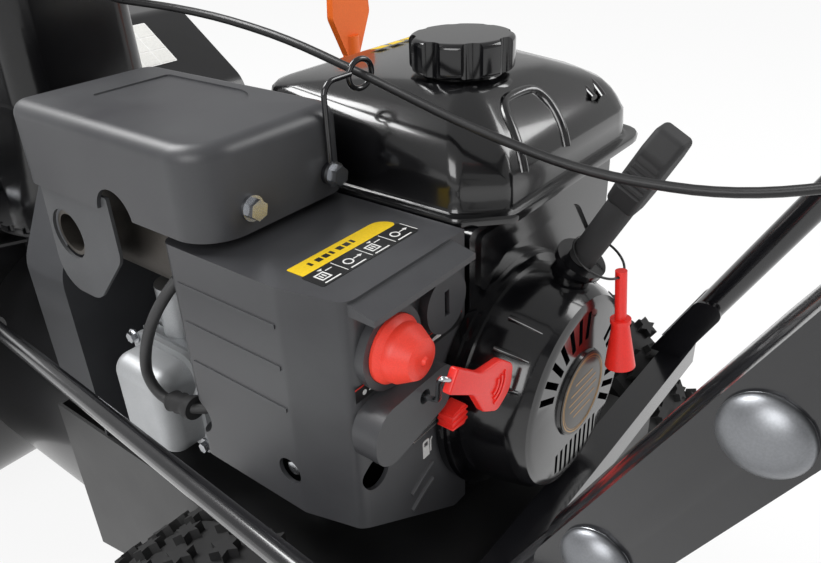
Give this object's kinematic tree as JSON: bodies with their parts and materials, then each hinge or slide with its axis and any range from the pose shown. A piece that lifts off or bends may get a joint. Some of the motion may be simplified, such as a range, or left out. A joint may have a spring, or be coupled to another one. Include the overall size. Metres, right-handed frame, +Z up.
{
  "type": "two stage snowblower",
  "caption": "Walk-behind snowblower: auger housing, impeller drum, turning chute with tilting deflector, engine with pull starter, two driven wheels and bent handles with controls.",
  "frame": {"origin": "on the ground plane, under the middle of the whole machine's bounding box", "axes": "+Z up, -Y towards the auger housing's mouth, +Y towards the operator, +X the machine's left side"},
  "size_m": [0.6587, 1.4914, 1.0241],
  "materials": {
    "black_paint": "gloss powder coat",
    "black_satin": "satin powder coat",
    "tube_black": "gloss tube enamel",
    "tank_black": "gloss enamel",
    "orange_paint": "gloss enamel",
    "charcoal": "fine moulded grain",
    "cover_charcoal": "fine moulded grain",
    "chute_black": "polished moulding",
    "starter_black": "polished moulding",
    "red_plastic": "smooth moulding",
    "red_rubber": "soft moulding",
    "orange_plastic": "smooth moulding",
    "grip_rubber": "textured",
    "cord_black": "extruded sleeve",
    "tyre": "moulded tread",
    "rim_white": "gloss enamel",
    "steel": "zinc plated",
    "dark_steel": "turned steel",
    "grey_plate": "heat resisting paint",
    "muffler_steel": "heat stained sheet",
    "aluminium": "as die cast",
    "bright_aluminium": "bright die casting",
    "iron": "sand cast",
    "knob_black": "smooth moulding"
  },
  "bodies": {
    "frame": {"bearings": "steel", "belts": "cord_black", "chassis_frame": "black_satin", "bottom_cover": "black_satin", "belt_cover": "cover_charcoal", "cleanout_tool": "orange_plastic", "lower_handles": "tube_black", "upper_handle_left": "tube_black", "upper_handle_right": "tube_black", "grips": "grip_rubber", "control_panel": "cover_charcoal", "fasteners": "steel", "cable_guide": "tube_black", "deflector_cable": "cord_black", "auger_housing": "black_paint", "scraper_bar": "black_satin", "skid_shoe_left": "black_satin", "skid_shoe_right": "black_satin", "gearcase": "iron", "chute_clamp": "black_satin", "engine_block": "aluminium", "valve_cover": "bright_aluminium", "blower_housing": "starter_black", "recoil_cover": "starter_black", "carb_hood": "charcoal", "fuel_tank": "tank_black", "muffler": "muffler_steel", "muffler_lid": "charcoal", "exhaust_plate": "grey_plate"},
    "wheels": {"left_tyre": "tyre", "right_tyre": "tyre", "left_rim": "rim_white", "right_rim": "rim_white", "axle": "dark_steel"},
    "hex": {"hex_shaft": "dark_steel"},
    "friction": {"friction_wheel": "cord_black"},
    "plate": {"drive_plate": "aluminium"},
    "crank": {"crankshaft": "dark_steel", "flywheel": "aluminium"},
    "augers": {"auger_shaft": "dark_steel", "auger_left": "orange_paint", "auger_right": "orange_paint"},
    "impeller": {"impeller": "orange_paint"},
    "chute": {"chute": "chute_black", "chute_cable": "cord_black"},
    "deflector": {"deflector": "chute_black"},
    "worm": {"chute_worm": "steel"},
    "crank_rod": {"crank_rod": "tube_black"},
    "drive_clutch": {"drive_lever": "red_plastic"},
    "auger_clutch": {"auger_lever": "red_plastic"},
    "shifter": {"shift_lever": "knob_black"},
    "chute_control": {"chute_lever": "knob_black"},
    "grip": {"starter_grip": "grip_rubber", "key_tag": "red_plastic", "key_loop": "cord_black"},
    "reel": {"starter_reel": "knob_black"},
    "primer": {"primer_bulb": "red_rubber"},
    "throttle": {"throttle_lever": "red_plastic"},
    "tap": {"fuel_tap_lever": "red_plastic"},
    "cap": {"fuel_cap": "knob_black"}
  },
  "joints": [
    {"name": "axle_spin", "type": "hinge", "parent": "frame", "child": "wheels", "pos_m": [-0.01135, 0.09129, 0.165], "axis": [1, 0, 0], "continuous": true},
    {"name": "hex_spin", "type": "hinge", "parent": "frame", "child": "hex", "pos_m": [-0.01135, 0.03129, 0.206], "axis": [1, 0, 0], "continuous": true},
    {"name": "friction_slide", "type": "slide", "parent": "hex", "child": "friction", "axis": [1, 0, 0], "range_m": [-0.045, 0.045]},
    {"name": "plate_spin", "type": "hinge", "parent": "frame", "child": "plate", "pos_m": [-0.01135, -0.10871, 0.206], "axis": [0, 1, 0], "continuous": true},
    {"name": "crankshaft_spin", "type": "hinge", "parent": "frame", "child": "crank", "pos_m": [-0.02985, 0.09129, 0.39], "axis": [0, 1, 0], "continuous": true},
    {"name": "auger_spin", "type": "hinge", "parent": "frame", "child": "augers", "pos_m": [-0.01135, -0.59571, 0.178], "axis": [1, 0, 0], "continuous": true},
    {"name": "impeller_spin", "type": "hinge", "parent": "frame", "child": "impeller", "pos_m": [-0.01135, -0.33671, 0.206], "axis": [0, 1, 0], "continuous": true},
    {"name": "chute_turn", "type": "hinge", "parent": "frame", "child": "chute", "pos_m": [0.01865, -0.33671, 0.43], "axis": [0, 0, 1], "range_deg": [-95, 95]},
    {"name": "deflector_tilt", "type": "hinge", "parent": "chute", "child": "deflector", "pos_m": [0.01865, -0.29031, 0.7463], "axis": [1, 0, 0], "range_deg": [-5, 50]},
    {"name": "worm_turn", "type": "hinge", "parent": "frame", "child": "worm", "pos_m": [0.11436, -0.38062, 0.4333], "axis": [0.4126, 0.8991, -0.146], "range_deg": [-2850, 2850]},
    {"name": "crank_turn", "type": "hinge", "parent": "frame", "child": "crank_rod", "pos_m": [0.18865, -0.21871, 0.407], "axis": [0.1421, 0.9775, 0.1557], "range_deg": [-2850, 2850]},
    {"name": "drive_squeeze", "type": "hinge", "parent": "frame", "child": "drive_clutch", "pos_m": [0.22715, 0.56382, 0.9363], "axis": [1, 0, 0], "range_deg": [-12, 0]},
    {"name": "auger_squeeze", "type": "hinge", "parent": "frame", "child": "auger_clutch", "pos_m": [0.22715, 0.56382, 0.9363], "axis": [1, 0, 0], "range_deg": [-12, 0]},
    {"name": "shift_turn", "type": "hinge", "parent": "frame", "child": "shifter", "pos_m": [-0.01135, 0.57905, 0.87308], "axis": [1, 0, 0], "range_deg": [-25, 25]},
    {"name": "chute_lever_turn", "type": "hinge", "parent": "frame", "child": "chute_control", "pos_m": [-0.01135, 0.57905, 0.87308], "axis": [1, 0, 0], "range_deg": [-2.5, 25]},
    {"name": "grip_pull", "type": "slide", "parent": "frame", "child": "grip", "axis": [0, 0.4772, 0.8788], "range_m": [0, 0.6]},
    {"name": "reel_spin", "type": "hinge", "parent": "frame", "child": "reel", "pos_m": [-0.02985, 0.19929, 0.39], "axis": [0, 1, 0], "range_deg": [0, 661.11]},
    {"name": "primer_press", "type": "slide", "parent": "frame", "child": "primer", "axis": [0, -1, 0], "range_m": [0, 0.006]},
    {"name": "throttle_turn", "type": "hinge", "parent": "frame", "child": "throttle", "pos_m": [0.09665, 0.19129, 0.446], "axis": [0, 1, 0], "range_deg": [0, 40]},
    {"name": "tap_slide", "type": "slide", "parent": "frame", "child": "tap", "axis": [1, 0, 0], "range_m": [0, 0.008]},
    {"name": "cap_lift", "type": "slide", "parent": "frame", "child": "cap", "axis": [0, 0, 1], "range_m": [0, 0.045]}
  ],
  "couplings": [
    {"joint": "hex_spin", "follows": "axle_spin", "ratio": -2.1818},
    {"joint": "shift_turn", "follows": "friction_slide", "rad_per_m": 9.6963},
    {"joint": "impeller_spin", "follows": "auger_spin", "ratio": 10},
    {"joint": "chute_lever_turn", "follows": "deflector_tilt", "ratio": 0.5},
    {"joint": "worm_turn", "follows": "chute_turn", "ratio": -30},
    {"joint": "crank_turn", "follows": "chute_turn", "ratio": -30},
    {"joint": "reel_spin", "follows": "grip_pull", "rad_per_m": 19.231}
  ]
}
